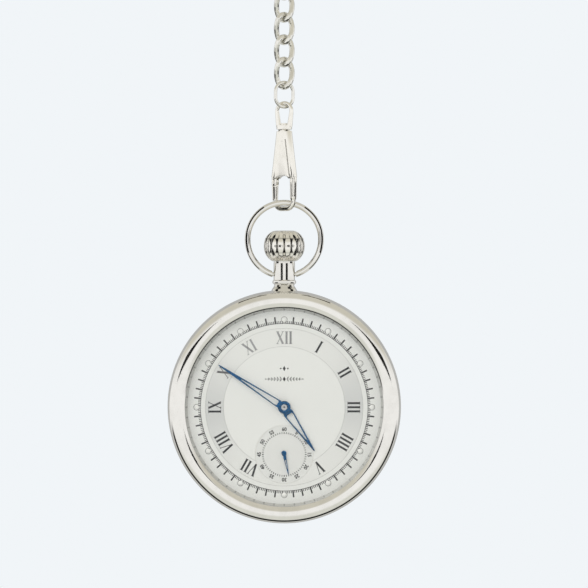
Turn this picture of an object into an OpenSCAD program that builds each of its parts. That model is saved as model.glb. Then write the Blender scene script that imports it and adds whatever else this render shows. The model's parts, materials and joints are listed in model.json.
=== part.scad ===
// Hanging open-face pocket watch with small seconds, on a swivel clasp and curb chain.
// The watch is drawn face up, with 12 o'clock on +Y, and stood up by watch().

/* [Case] */
// Outside diameter of the case
case_d = 48; // [47.8:0.1:48.4]
// Height of the crystal's dome above its edge
crystal_dome = 1.48; // [1.3:0.02:1.6]

/* [Time shown] */
// Hour shown by the hands
hour_shown = 4; // [1:1:12]
// Minute shown by the hands
minute_shown = 50; // [0:1:59]
// Second shown by the small hand
second_shown = 28; // [0:1:59]

/* [Dial] */
// Diameter of the twelve white hour dots
dot_d = 0.95; // [0.8:0.05:1.1]
// Radius at which the hour dots sit
dot_r = 17.9; // [17.6:0.1:18.2]

/* [Crown and bow] */
// Widest diameter of the winding crown
crown_d = 8.5; // [8.2:0.1:8.6]
// Number of flutes round the crown
crown_flutes = 16; // [14:1:20]
// Thickness of the bow's wire
bow_wire = 1.2; // [1.1:0.05:1.25]

/* [Chain] */
// Thickness of the chain links' wire
link_wire = 1.1; // [1.0:0.05:1.1]
// Thickness of the jump ring's wire
jump_wire = 0.7; // [0.6:0.05:0.7]

/* [Hidden] */
$fn = 96;
case_r = case_d / 2;
hang_h = 93.88;
stem_z = -3.4;
link_pitch = 4.6;
link_low = 68.6;
link_a = 1.6;
link_b = 2.88;
link_c = 0.75;
clasp_turn = -36;
bow_h = 34.4;
bow_r = 7.55;
pivot_h = 27.26;
tooth = 0.4;
third_d = 6.3;
third_m = 0.155;
fourth_y = -9.65;
third_y = -(pow(third_d, 2) - pow(34 * third_m, 2) + pow(fourth_y, 2)) / (2 * -fourth_y);
third_x = sqrt(pow(third_d, 2) - pow(third_y, 2));
fourth_m = 0.135;
escape_dir = 155.35;
escape_x = 38.5 * fourth_m * cos(escape_dir);
escape_y = fourth_y + 38.5 * fourth_m * sin(escape_dir);
pallet_x = escape_x + 3 * cos(176);
pallet_y = escape_y + 3 * sin(176);
balance_x = -10.5;
balance_y = -7;
barrel_x = -7;
barrel_y = 6;
barrel_d = sqrt(pow(barrel_x, 2) + pow(barrel_y, 2));
barrel_m = 2 * barrel_d / 90;
barrel_dir = atan2(barrel_y, barrel_x);
crown_wheel_y = barrel_y + sqrt(pow(28 * 0.3, 2) - pow(barrel_x, 2));
minute_x = 4.2 * cos(60);
minute_y = 4.2 * sin(60);
third_dir = atan2(third_y, third_x);
fourth_dir = atan2(fourth_y - third_y, -third_x);
bridge_feet = [[12.8, 9.2], [-16.3, 0.3], [8.5, 0.6], [-4.2, 16]];
train_feet = [[15.2, -5.5], [6, -15.2], [-5, -14.6]];
cock_foot = [-9, -13.7];
pallet_feet = [[-7.9, -10.6], [-7.4, -3.9]];
plate_jewels = [[third_x, third_y], [escape_x, escape_y], [pallet_x, pallet_y], [balance_x, balance_y]];
bridge_jewels = [[third_x, third_y], [0, fourth_y], [escape_x, escape_y]];

// ---- frames and shared shapes ----

// Stands the watch up with its stem on the chain's line
module watch() {
  translate([0, stem_z, -hang_h])
  rotate([90, 0, 0])
  children();
}

// Heights of the hanging pieces are counted from the case's centre
module hang() {
  translate([0, 0, -hang_h])
  children();
}

// Turns a shape so that its own Z runs along the winding stem
module on_stem() {
  translate([0, 0, stem_z])
  rotate([-90, 0, 0])
  children();
}

module disc(r, z0, z1) {
  translate([0, 0, z0])
  cylinder(r = r, h = z1 - z0);
}

module tube(ro, ri, z0, z1) {
  difference() {
    disc(ro, z0, z1);
    disc(ri, z0 - 0.5, z1 + 0.5);
  }
}

module plate(points, z0, z1) {
  translate([0, 0, z0])
  linear_extrude(z1 - z0)
  polygon(points);
}

module torus(r, wire, turn = 360) {
  rotate_extrude(angle = turn)
  translate([r, 0])
  circle(d = wire, $fn = 48);
}

// A round bar between two points
module rod(p, q, r0, r1) {
  d = q - p;
  translate(p)
  rotate([0, acos(d[2] / norm(d)), atan2(d[1], d[0])])
  cylinder(r1 = r0, r2 = r1, h = norm(d), $fn = 48);
}

// Corner points of a toothed wheel: module m, tip and root in modules, tooth root and tip widths
function gear_points(n, m, tip, root, wide, phase) = [
  for (i = [0:n - 1]) for (k = [0:3])
    let (r = (k == 0 || k == 3) ? n * m / 2 - 1.25 * m : n * m / 2 + tip * m)
    let (w = tooth * PI * m / 2 * ((k == 0 || k == 3) ? wide : root) * (k < 2 ? -1 : 1))
    let (a = phase + 360 * i / n + w / r * 180 / PI)
    [r * cos(a), r * sin(a)]
];

module wheel_teeth(n, m, z0, z1, phase) {
  plate(gear_points(n, m, 0.9, 0.45, 1.1, phase), z0, z1);
}

module pinion_leaves(n, m, z0, z1, phase) {
  plate(gear_points(n, m, 0.6, 0.45, 0.9, phase), z0, z1);
}

// A wheel with crossed-out arms
module spoked_wheel(n, m, z0, z1, phase, arms, rim, hub) {
  inner = n * m / 2 - 1.25 * m - rim;
  difference() {
    wheel_teeth(n, m, z0, z1, phase);
    disc(inner, z0 - 0.5, z1 + 0.5);
  }
  disc(hub, z0, z1);
  for (i = [0:arms - 1])
    rotate(360 * i / arms + phase)
    translate([0, -0.22, z0])
    cube([inner + 0.1, 0.44, z1 - z0]);
}

// The phase of a wheel b that meshes with a wheel a, seen from a's centre in direction dir
function mesh_phase(dir, na, pa, nb) = dir + 180 + 180 / nb - (pa - dir) * na / nb;

// A coiled strip from radius r0 to r1
function coil(r0, r1, turns, thick, steps) = concat(
  [for (i = [0:steps]) let (t = i / steps, r = r0 + (r1 - r0) * t)
    [r * cos(360 * turns * t), r * sin(360 * turns * t)]],
  [for (i = [steps:-1:0]) let (t = i / steps, r = r0 + (r1 - r0) * t + thick)
    [r * cos(360 * turns * t), r * sin(360 * turns * t)]]
);

// ---- chain and clasp ----

module hang_ring() {
  color("#c9c8c4")
  rotate([90, 0, -47])
  torus(5.3, 1.4);
}

function link_point(t) = [link_a * cos(t), link_c * sin(2 * t), link_b * sin(t)];

// One twisted curb link, centred on its own middle
module curb_link() {
  for (i = [0:23])
    hull() {
      translate(link_point(15 * i))
      sphere(d = link_wire, $fn = 14);
      translate(link_point(15 * i + 15))
      sphere(d = link_wire, $fn = 14);
    }
}

// Links count from the hanging ring down
module chain_link(k) {
  color("#cfcec9")
  hang()
  translate([0, 0, link_low + (5 - k) * link_pitch])
  curb_link();
}

module jump_ring() {
  color("#cfcec9")
  hang()
  translate([0, 0, 64.175])
  rotate([90, 0, 25])
  union() {
    for (s = [0, 1])
      rotate([0, 0, 180 * s])
      translate([0, 0.555, 0])
      torus(1.97, jump_wire, 180);
    for (s = [-1, 1])
      translate([1.97 * s, 0, 0])
      rotate([90, 0, 0])
      cylinder(d = jump_wire, h = 1.11, center = true, $fn = 48);
  }
}

module clasp_bail() {
  color("#d2d0ca")
  hang()
  rotate([0, 0, -30])
  difference() {
    union() {
      translate([0, 0, 60.74])
      rotate([90, 0, 0])
      torus(1.71, 0.8, 180);
      for (s = [-1, 1])
        rod([1.71 * s, 0, 60.74], [1.3 * s, 0, 57.6], 0.42, 0.56);
      for (s = [-1, 1])
        translate([1.71 * s, 0, 60.74])
        sphere(r = 0.4, $fn = 48);
      disc(1.6, 57.05, 57.85);
    }
    disc(0.55, 56, 57.95);
  }
}

module clasp_rivet() {
  color("#bdbcb8")
  hang() {
    disc(0.62, 57.9, 58.3);
    disc(0.5, 54.8, 58);
  }
}

module clasp_body() {
  color("#d6d3cc")
  hang()
  rotate([0, 0, clasp_turn])
  difference() {
    union() {
      rotate([90, 0, 0])
      linear_extrude(1.62, center = true)
      polygon([
        [-0.9, 57], [0.9, 57], [2.2, 47.7], [2.2, 46.9], [1.6, 46.9], [1.2, 47.3], [0.6, 47.52],
        [-0.6, 47.52], [-1.2, 47.3], [-1.6, 46.9], [-2.2, 46.9], [-2.2, 47.7]
      ]);
      for (s = [-1, 1])
        rod([2.2 * s, 0, 47.1], [0.9 * s, 0, 56.6], 0.86, 0.86);
      disc(0.86, 54.5, 57);
      // the hook: a bar, a shoulder, and a thinner bend under the bow
      rod([2.3, 0, 47.2], [2.3, 0, 43], 0.72, 0.68);
      rod([2.3, 0, 43], [2.3, 0, 42.33], 0.68, 0.5);
      for (s = [0, 180])
        rotate([0, 0, s])
        translate([0.7, 0, 42.33])
        rotate([-90, 0, 0])
        torus(1.6, 1, 90);
      rod([-0.7, 0, 40.73], [0.7, 0, 40.73], 0.5, 0.5);
      // the knuckle that the gate turns round
      intersection() {
        rod([-2.3, 0, 47.2], [-2.3, 0, 45.3], 0.72, 0.72);
        translate([-2.3, 0, 46.4])
        rotate([90, 0, 0])
        cylinder(r = 0.97, h = 3, center = true);
      }
    }
    // slot for the gate's tang and spring
    translate([-3.2, -0.31, 45])
    cube([1.9, 0.62, 2.3]);
    translate([-2.6, -0.31, 47])
    cube([0.9, 0.62, 4.4]);
    translate([-2.3, 0, 46.4])
    rotate([90, 0, 0])
    cylinder(r = 0.23, h = 3, center = true);
    disc(0.5, 54.8, 58);
  }
}

module clasp_gate() {
  color("#dcd7cd")
  hang()
  rotate([0, 0, clasp_turn])
  difference() {
    union() {
      difference() {
        rod([-2.3, 0, 46], [-2.3, 0, 42.45], 0.72, 0.58);
        translate([-2.3, 0, 46.4])
        rotate([90, 0, 0])
        cylinder(r = 1.03, h = 3, center = true);
      }
      translate([-2.3, 0, 46.4])
      rotate([90, 0, 0])
      cylinder(r = 0.55, h = 0.5, center = true);
      translate([-2.7, -0.25, 45.1])
      cube([0.8, 0.5, 1.3]);
    }
    translate([-2.3, 0, 46.4])
    rotate([90, 0, 0])
    cylinder(r = 0.26, h = 3, center = true);
  }
}

module gate_pin() {
  color("#a9a8a4")
  hang()
  rotate([0, 0, clasp_turn])
  translate([-2.3, 0, 46.4])
  rotate([90, 0, 0])
  cylinder(r = 0.22, h = 1.9, center = true);
}

// A flat spring standing in the slot above the gate's tang
module gate_spring() {
  color("#8f9296")
  hang()
  rotate([0, 0, clasp_turn])
  translate([-2.5, -0.2, 47.05])
  cube([0.16, 0.4, 4.2]);
}

// ---- bow, pendant and crown ----

module bow() {
  color("#cdccc8")
  hang() {
    difference() {
      translate([0, 0, bow_h])
      rotate([90, 0, 0])
      torus(bow_r, bow_wire);
      translate([-2.46, -2, 24])
      cube([4.92, 4, 8]);
    }
    for (s = [-1, 1])
      translate([1.65 * s, 0, pivot_h])
      rotate([0, 90 * s, 0])
      cylinder(r = 0.4, h = 1);
  }
}

function case_profile() = [
  [case_r - 1.1, 0.5], [case_r - 0.7, 0.1], [case_r - 0.35, -0.6], [case_r - 0.1, -1.6],
  [case_r, -3], [case_r - 0.1, -4.4], [case_r - 0.4, -5.4], [case_r - 0.8, -6],
  [case_r - 1.1, -6.4]
];

module pendant() {
  color("#cfcdc7")
  watch()
  difference() {
    union() {
      difference() {
        on_stem()
        rotate_extrude()
        polygon([
          [0, 22.5], [2.75, 22.5], [2.75, 23.6], [2.5, 24.2], [2.15, 24.7], [2.05, 25],
          [2.15, 25.2], [2.4, 25.35], [2.45, 25.6], [2.4, 25.9], [2.2, 26.05], [2.2, 29.5],
          [2.15, 29.85], [0, 29.85]
        ]);
        rotate_extrude()
        polygon(concat([[0, 0.5]], case_profile(), [[0, -6.4]]));
      }
      on_stem()
      disc(1.6, 21.6, 25);
    }
    on_stem()
    disc(0.62, 20, 31);
    for (s = [-1, 1])
      translate([1.55 * s, pivot_h, stem_z])
      rotate([0, 90 * s, 0])
      cylinder(r = 0.45, h = 2, $fn = 48);
  }
}

module crown() {
  color("#d3d1cb")
  watch()
  on_stem()
  difference() {
    rotate_extrude()
    polygon([
      [0, 29.9], [2.35, 29.9], [2.7, 30.1], [crown_d / 2 - 0.6, 30.9], [crown_d / 2 - 0.12, 31.8],
      [crown_d / 2, 33], [crown_d / 2 - 0.08, 33.9], [crown_d / 2 - 0.35, 34.7],
      [crown_d / 2 - 1, 35.6], [2.4, 36.1], [2.15, 36.25], [0, 36.25]
    ]);
    for (i = [0:crown_flutes - 1])
      rotate([0, 0, 360 * (i + 0.5) / crown_flutes])
      translate([crown_d / 2 + 0.2, 0, 30.4])
      cylinder(r = 0.5, h = 5.2, $fn = 24);
    disc(0.56, 29, 34);
  }
}

module winding_stem() {
  color("#9da0a3")
  watch()
  on_stem() {
    disc(0.3, 12.25, 13.2);
    translate([-0.39, -0.39, 13.1])
    cube([0.78, 0.78, 4]);
    disc(0.55, 17.02, 34);
  }
}

// Castle teeth that lock the two pinions together
module castle(z0, z1, phase) {
  for (i = [0:5])
    rotate([0, 0, 60 * i + phase])
    translate([0.8, -0.2, z0])
    cube([0.55, 0.4, z1 - z0]);
}

module square_bore() {
  translate([-0.42, -0.42, 12])
  cube([0.84, 0.84, 6]);
}

module winding_pinion() {
  color("#a4a6a8")
  watch()
  on_stem()
  difference() {
    union() {
      plate(gear_points(14, 0.3, 0.8, 0.45, 0.95, 90), 13.4, 14.6);
      disc(1.5, 13.4, 14.6);
      castle(14.5, 14.9, 0);
    }
    square_bore();
  }
}

module sliding_pinion() {
  color("#a4a6a8")
  watch()
  on_stem()
  difference() {
    union() {
      disc(1.6, 15, 15.6);
      disc(1.15, 15.5, 16.2);
      disc(1.6, 16.1, 16.75);
      castle(14.7, 15.1, 30);
    }
    square_bore();
  }
}

// ---- case ----

module case_middle() {
  color("#c4c3be")
  watch()
  difference() {
    rotate_extrude()
    polygon(concat(case_profile(), [
      [22.2, -6.4], [22.2, -5.4], [19.6, -5.4], [19.6, -2.25], [20.35, -2.25],
      [20.35, -0.1], [22.1, -0.1], [22.1, 0.5]
    ]));
    on_stem()
    disc(1.62, 21.5, 26);
    on_stem()
    disc(0.9, 15, 26);
  }
}

module case_back() {
  color("#c9c8c3")
  watch()
  rotate_extrude()
  polygon([
    [0, -6.7], [21.3, -6.7], [21.3, -5.45], [22.15, -5.45], [22.15, -6.45],
    [case_r - 0.9, -6.45], [case_r - 0.65, -6.75], [case_r - 0.75, -7.1],
    [case_r - 1.5, -7.45], [20, -7.75], [15, -7.9], [0, -7.9]
  ]);
}

module bezel() {
  color("#d4d3cf")
  watch()
  rotate_extrude()
  polygon([
    [21.55, -0.05], [22.05, -0.05], [22.05, 0.55], [case_r - 1, 0.55], [case_r - 0.6, 0.75],
    [case_r - 0.45, 1.1], [case_r - 0.48, 1.45], [case_r - 0.7, 1.85], [case_r - 1.1, 2.12],
    [case_r - 1.8, 2.35], [21.5, 2.33], [21, 2.28], [20.3, 1.7], [20.4, 1.62],
    [20.98, 1.45], [21.55, 1.45]
  ]);
}

module crystal() {
  color("#dfe9ee", 0.3)
  watch()
  rotate_extrude()
  polygon(concat(
    [[20.6, 1], [21.5, 1], [21.5, 1.42]],
    [for (i = [20:-1:0]) let (r = 20.95 * i / 20) [r, 1.42 + crystal_dome * (1 - pow(i / 20, 2))]],
    [for (i = [0:19]) let (r = 20.4 * i / 20) [r, 1 + (crystal_dome - 0.55) * (1 - pow(i / 20, 2))]]
  ));
}

// Bright ring that fills the gap between the dial's edge and the crystal
module dial_ring() {
  color("#d9d9d6")
  watch()
  rotate_extrude()
  polygon([[19.75, 0.02], [20.3, 0.02], [20.3, 0.3], [21.5, 0.3], [21.5, 0.95], [20.95, 0.95]]);
}

// ---- dial and hands ----

module dial() {
  color("#e9e9e6")
  watch()
  union() {
    difference() {
      disc(20.2, -0.4, 0);
      disc(0.95, -1, 1);
      translate([0, fourth_y, 0])
      disc(5.95, -1, 1);
    }
    for (a = [35, 215])
      rotate(a)
      translate([16.6, 0, 0])
      disc(0.4, -1.6, -0.2);
  }
}

module seconds_dial() {
  color("#e3e3e0")
  watch()
  translate([0, fourth_y, 0])
  tube(5.93, 0.3, -0.4, -0.1);
}

module hour_dots() {
  color("#f7f7f5")
  watch()
  for (i = [0:11])
    rotate(30 * i)
    translate([0, dot_r, 0]) {
      disc(dot_d / 2, 0, 0.12);
      translate([0, 0, 0.12])
      cylinder(r1 = dot_d / 2, r2 = dot_d / 4, h = 0.14);
    }
}

// A blued leaf hand with an open window: tip length, widest half width, window start and end
module leaf_hand(tip, half, from, to, side, hub, bore, z0, z1) {
  difference() {
    union() {
      plate([
        [-half, from - 0.2], [-0.13, tip - 0.25], [0, tip], [0.13, tip - 0.25], [half, from - 0.2],
        [0.6, 0], [-0.6, 0]
      ], z0, z1);
      disc(hub, z0, z1);
    }
    plate([
      [-half + side + 0.12, from], [-half + side, from + 0.35], [-0.06, to], [0.06, to],
      [half - side, from + 0.35], [half - side - 0.12, from]
    ], z0 - 0.5, z1 + 0.5);
    disc(bore, z0 - 0.5, z1 + 0.5);
  }
}

module hour_hand() {
  color("#1d4a86")
  watch()
  rotate(-30 * (hour_shown + (minute_shown + second_shown / 60) / 60))
  leaf_hand(10.95, 1.05, 1.75, 8.2, 0.3, 1.3, 0.87, 0.42, 0.58);
}

module minute_hand() {
  color("#1d4a86")
  watch()
  rotate(-6 * (minute_shown + second_shown / 60))
  leaf_hand(16, 0.78, 1.55, 10.4, 0.24, 1.22, 0.62, 0.82, 0.97);
}

module seconds_hand() {
  color("#1d4a86")
  watch()
  translate([0, fourth_y, 0])
  rotate(-6 * second_shown)
  difference() {
    union() {
      difference() {
        plate([
          [-0.26, -0.3], [0.26, -0.3], [0.3, 0.7], [0.26, 1.3], [0.07, 4.1], [0, 4.2],
          [-0.07, 4.1], [-0.26, 1.3], [-0.3, 0.7]
        ], 0.14, 0.25);
        plate([[-0.13, 1.1], [0.13, 1.1], [0.035, 3], [-0.035, 3]], 0, 0.5);
      }
      translate([0, -0.3, 0])
      disc(0.5, 0.14, 0.25);
      disc(0.4, 0.02, 0.25);
    }
    disc(0.21, -0.5, 0.5);
  }
}

// ---- motion work under the dial ----

module cannon_pinion() {
  color("#b5b6b6")
  watch()
  difference() {
    union() {
      pinion_leaves(12, 0.175, -1.45, -0.95, 0);
      disc(0.6, -1.5, 1.08);
    }
    disc(0.39, -2, 2);
  }
}

module hour_wheel() {
  color("#c8a64e")
  watch()
  difference() {
    union() {
      wheel_teeth(40, 0.168, -0.85, -0.6, mesh_phase(240, 10, 0, 40));
      disc(0.86, -0.85, 0.6);
    }
    disc(0.64, -2, 2);
  }
}

module minute_wheel() {
  color("#c8a64e")
  watch()
  translate([minute_x, minute_y, 0])
  difference() {
    union() {
      wheel_teeth(36, 0.175, -1.4, -1.15, mesh_phase(60, 12, 0, 36));
      pinion_leaves(10, 0.168, -1.2, -0.55, 0);
    }
    disc(0.29, -2, 0);
  }
}

// ---- movement plates ----

module screw_holes(feet, r, z0, z1) {
  for (p = feet)
    translate([p[0], p[1], 0])
    disc(r, z0, z1);
}

module mainplate() {
  color("#c9b37a")
  watch()
  difference() {
    union() {
      disc(18, -2.2, -0.4);
      translate([-0.9, 12.1, -4.6])
      cube([3.3, 0.95, 2.5]);
      translate([-2.2, 17, -4.6])
      cube([4.4, 0.7, 2.5]);
    }
    disc(3.75, -1.6, 0);
    translate([minute_x, minute_y, 0])
    disc(3.5, -1.6, 0);
    disc(0.43, -3, 0);
    translate([0, fourth_y, 0])
    disc(0.24, -3, 0);
    translate([barrel_x, barrel_y, 0])
    disc(0.85, -3, -1.15);
    screw_holes(plate_jewels, 0.66, -3, -1.89);
    screw_holes(plate_jewels, 0.25, -3, -1.6);
    screw_holes(concat(bridge_feet, train_feet, [cock_foot]), 0.36, -3, -0.9);
    translate([-2.6, 13.15, -3])
    cube([5.2, 3.8, 2.1]);
    on_stem()
    disc(0.34, 11.5, 14);
    on_stem()
    disc(0.63, 16.5, 18.5);
    for (a = [35, 215])
      rotate(a)
      translate([16.6, 0, 0])
      disc(0.45, -1.7, 0);
  }
  watch()
  translate([minute_x, minute_y, 0])
  disc(0.25, -1.7, -0.5);
}

module movement_ring() {
  color("#b9bbbc")
  watch()
  difference() {
    tube(20.3, 18.05, -2.2, -0.42);
    for (a = [20, 200, 330])
      rotate(a)
      translate([18.62, 0, 0])
      disc(0.31, -3, -1.1);
  }
}

module case_screws() {
  color("#a9aaab")
  watch()
  for (a = [20, 200, 330])
    rotate(a)
    translate([18.62, 0, 0])
    difference() {
      union() {
        disc(0.3, -2.3, -1.15);
        disc(0.92, -2.6, -2.21);
      }
      translate([-1, -0.1, -2.8])
      cube([2, 0.2, 0.35]);
    }
}

module barrel_bridge() {
  color("#c4c6c6")
  watch()
  difference() {
    union() {
      intersection() {
        disc(17.8, -5.4, -4.65);
        plate([[-19, -1.3], [-3, -1.3], [-1.5, -1.9], [6, -1.9], [19, -1.3], [19, 19], [-19, 19]], -6, -4);
      }
      for (p = bridge_feet)
        translate([p[0], p[1], 0])
        disc(1.3, -4.7, -2.21);
      translate([-13.5, 9.75, 0])
      disc(0.4, -6, -5);
    }
    disc(0.33, -6, -4);
    translate([barrel_x, barrel_y, 0])
    disc(0.85, -6, -4);
    translate([0, crown_wheel_y, 0])
    disc(0.5, -6, -4);
    translate([-2.6, 13.15, -6])
    cube([5.2, 3.75, 2]);
    screw_holes(bridge_feet, 0.36, -6, 0);
  }
}

module train_bridge() {
  color("#c4c6c6")
  watch()
  difference() {
    union() {
      intersection() {
        disc(17.8, -5.4, -4.65);
        plate([
          [-6.2, -6.2], [-3, -5.6], [0.6, -3.2], [5, -2.5], [19, -2.1], [19, -19], [-7, -19],
          [-6.3, -12.6], [-5.9, -9]
        ], -6, -4);
      }
      for (p = train_feet)
        translate([p[0], p[1], 0])
        disc(1.3, -4.7, -2.21);
    }
    translate([balance_x, balance_y, 0])
    disc(4.85, -6, -4);
    screw_holes(bridge_jewels, 0.66, -5.0, -4);
    screw_holes(bridge_jewels, 0.3, -6, -4);
    screw_holes(train_feet, 0.36, -6, 0);
  }
}

module balance_cock() {
  color("#c4c6c6")
  watch()
  difference() {
    union() {
      translate([cock_foot[0], cock_foot[1], 0])
      disc(1.3, -6, -2.21);
      translate([balance_x, balance_y, 0])
      disc(1.7, -6, -5.4);
      plate([[-11.9, -7], [-10.3, -13.7], [-7.7, -13.7], [-9.1, -7]], -6, -5.4);
    }
    translate([balance_x, balance_y, 0])
    disc(0.66, -5.75, -5);
    translate([balance_x, balance_y, 0])
    disc(0.3, -7, -5);
    translate([cock_foot[0], cock_foot[1], 0])
    disc(0.36, -7, 0);
  }
}

module pallet_bridge() {
  color("#c4c6c6")
  watch()
  difference() {
    union() {
      plate([
        [-8.6, -10.6], [-8.3, -4.2], [-8, -3.4], [-6.8, -3.4], [-6.8, -4.2], [-6.9, -8], [-7.2, -11],
        [-7.9, -11.2], [-8.5, -11]
      ], -4.15, -3.9);
      screw_holes(pallet_feet, 0.55, -3.95, -2.21);
    }
    translate([pallet_x, pallet_y, 0])
    disc(0.46, -5, -3);
  }
}

module bridge_screws() {
  color("#274f8d")
  watch() {
    for (p = concat(bridge_feet, train_feet))
      translate([p[0], p[1], -5.41])
      bridge_screw();
    translate([cock_foot[0], cock_foot[1], -6.01])
    bridge_screw();
  }
}

module bridge_screw() {
  difference() {
    union() {
      disc(0.9, -0.35, 0);
      disc(0.35, -0.1, 4.2);
    }
    translate([-1, -0.12, -0.6])
    cube([2, 0.24, 0.42]);
  }
}

module jewels() {
  color("#b01238")
  watch() {
    for (p = plate_jewels)
      translate([p[0], p[1], 0])
      tube(0.65, 0.13, -2.2, -1.9);
    for (p = bridge_jewels)
      translate([p[0], p[1], 0])
      tube(0.65, 0.13, -4.97, -4.67);
    translate([balance_x, balance_y, 0])
    tube(0.65, 0.13, -5.74, -5.44);
    translate([pallet_x, pallet_y, 0])
    tube(0.45, 0.13, -4.15, -3.9);
  }
}

module regulator() {
  color("#9da0a4")
  watch()
  translate([balance_x, balance_y, 0])
  difference() {
    union() {
      disc(1.3, -6.25, -6.02);
      plate([[-0.5, 0], [-0.16, 3.6], [0.16, 3.6], [0.5, 0]], -6.25, -6.02);
    }
    disc(0.7, -7, -5);
  }
}

// ---- barrel and winding ----

module barrel() {
  color("#cfae58")
  watch()
  translate([barrel_x, barrel_y, 0])
  difference() {
    union() {
      wheel_teeth(80, barrel_m, -3.15, -2.65, mesh_phase(barrel_dir, 10, 0, 80));
      disc(7.7, -4.5, -2.65);
    }
    disc(7.35, -5, -2.85);
    disc(7.5, -5, -4.25);
    disc(0.85, -5, -2);
  }
}

module barrel_lid() {
  color("#d5b55f")
  watch()
  translate([barrel_x, barrel_y, 0])
  tube(7.49, 0.85, -4.5, -4.26);
}

module barrel_arbor() {
  color("#9da0a4")
  watch()
  translate([barrel_x, barrel_y, 0])
  difference() {
    union() {
      disc(0.8, -5.42, -1.25);
      disc(1.6, -4.15, -2.95);
      translate([-0.55, -0.55, -6.08])
      cube([1.1, 1.1, 0.8]);
    }
    disc(0.36, -7, -4.5);
  }
}

module mainspring() {
  color("#7f8489")
  watch()
  translate([barrel_x, barrel_y, 0])
  plate(coil(1.66, 7.15, 8, 0.13, 192), -4.15, -2.95);
}

module ratchet_wheel() {
  color("#b5b7b8")
  watch()
  translate([barrel_x, barrel_y, 0])
  difference() {
    wheel_teeth(36, 0.3, -6.08, -5.45, ratchet_phase());
    translate([-0.58, -0.58, -7])
    cube([1.16, 1.16, 2]);
  }
}

function ratchet_phase() = mesh_phase(atan2(barrel_y - crown_wheel_y, barrel_x), 20, 99, 36);

module ratchet_screw() {
  color("#274f8d")
  watch()
  translate([barrel_x, barrel_y, 0])
  difference() {
    union() {
      disc(1.3, -6.4, -6.1);
      disc(0.34, -6.2, -4.6);
    }
    translate([-1.5, -0.12, -6.6])
    cube([3, 0.24, 0.35]);
  }
}

module crown_wheel() {
  color("#b5b7b8")
  watch()
  translate([0, crown_wheel_y, 0])
  difference() {
    plate(gear_points(20, 0.3, 0.8, 0.45, 1, 99), -6.08, -5.45);
    disc(1.25, -7, -5);
  }
}

module crown_wheel_core() {
  color("#a9abad")
  watch()
  translate([0, crown_wheel_y, 0])
  difference() {
    union() {
      disc(1.2, -6.15, -5.41);
      disc(1.7, -6.4, -6.12);
      disc(0.45, -5.5, -4.7);
    }
    translate([-2, -0.12, -6.6])
    cube([4, 0.24, 0.35]);
  }
}

module click() {
  color("#b5b7b8")
  watch()
  difference() {
    union() {
      translate([-13.5, 9.75, 0])
      disc(0.85, -5.95, -5.45);
      plate([[-13.6, 10.3], [-10.3, 11.62], [-9.95, 11.3], [-10.25, 11.1], [-13.2, 9.3]], -5.95, -5.45);
    }
    translate([-13.5, 9.75, 0])
    disc(0.46, -7, -5);
  }
}

module click_spring() {
  color("#8f9296")
  watch() {
    translate([-11.2, 13.3, 0])
    disc(0.45, -5.9, -5.41);
    plate([[-11.4, 13.4], [-13.1, 11.6], [-12.9, 10.75], [-12.7, 10.8], [-12.85, 11.5], [-11, 13.2]], -5.9, -5.5);
  }
}

// ---- going train ----

module centre_wheel() {
  color("#cfae58")
  watch() {
    spoked_wheel(64, 0.175, -2.55, -2.35, 0, 5, 0.55, 1.1);
    pinion_leaves(10, barrel_m, -3.3, -2.5, 0);
    disc(0.38, -2.6, 1.12);
    disc(0.6, -4.5, -3.2);
    disc(0.3, -5.35, -4.4);
  }
}

module third_wheel() {
  color("#cfae58")
  watch()
  translate([third_x, third_y, 0]) {
    pinion_leaves(8, 0.175, -2.68, -2.26, mesh_phase(third_dir, 64, 0, 8));
    disc(0.3, -4.55, -2.6);
    spoked_wheel(60, third_m, -4.05, -3.9, 0, 5, 0.45, 0.8);
    disc(0.11, -4.92, -1.95);
  }
}

module fourth_wheel() {
  color("#cfae58")
  watch()
  translate([0, fourth_y, 0]) {
    pinion_leaves(8, third_m, -4.2, -3.75, mesh_phase(fourth_dir, 60, 0, 8));
    disc(0.26, -4.55, -2.3);
    spoked_wheel(70, fourth_m, -3.05, -2.9, 0, 5, 0.45, 0.8);
    disc(0.2, -2.4, 0.3);
    disc(0.11, -4.92, -4.5);
  }
}

module escape_wheel() {
  color("#b9bbbd")
  watch()
  translate([escape_x, escape_y, 0]) {
    pinion_leaves(7, fourth_m, -3.15, -2.8, mesh_phase(escape_dir, 70, 0, 7));
    disc(0.2, -4.55, -2.3);
    difference() {
      plate([
        for (i = [0:14]) for (p = [[2, -7], [2.6, -1], [2.6, 1], [2.05, 6]])
          [p[0] * cos(24 * i + p[1]), p[0] * sin(24 * i + p[1])]
      ], -3.6, -3.45);
      disc(1.6, -4, -3);
    }
    disc(0.6, -3.6, -3.45);
    for (i = [0:3])
      rotate(90 * i)
      translate([0, -0.15, -3.6])
      cube([1.7, 0.3, 0.15]);
    disc(0.11, -4.92, -1.95);
  }
}

module pallet_fork() {
  color("#a9abad")
  watch()
  translate([pallet_x, pallet_y, 0])
  rotate(-4) {
    difference() {
      union() {
        plate([
          [-0.45, 0.25], [0.35, 1.65], [0.85, 1.65], [0.5, 0.2], [0.5, -0.2], [0.85, -1.65],
          [0.35, -1.65], [-0.45, -0.25], [-2.3, -0.14], [-2.3, -0.3], [-2.55, -0.3], [-2.55, 0.3],
          [-2.3, 0.3], [-2.3, 0.14]
        ], -3.8, -3.65);
        disc(0.5, -3.8, -3.65);
      }
      translate([-2.7, -0.1, -4])
      cube([0.3, 0.2, 0.6]);
    }
    disc(0.2, -3.87, -2.3);
    disc(0.11, -4.1, -1.95);
    // pallet stones, outside the escape wheel's tips
    for (s = [-1, 1])
      translate([3, 0, 0])
      rotate(30 * s)
      translate([-3.05, -0.17, -3.7])
      cube([0.31, 0.34, 0.27]);
  }
}

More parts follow.
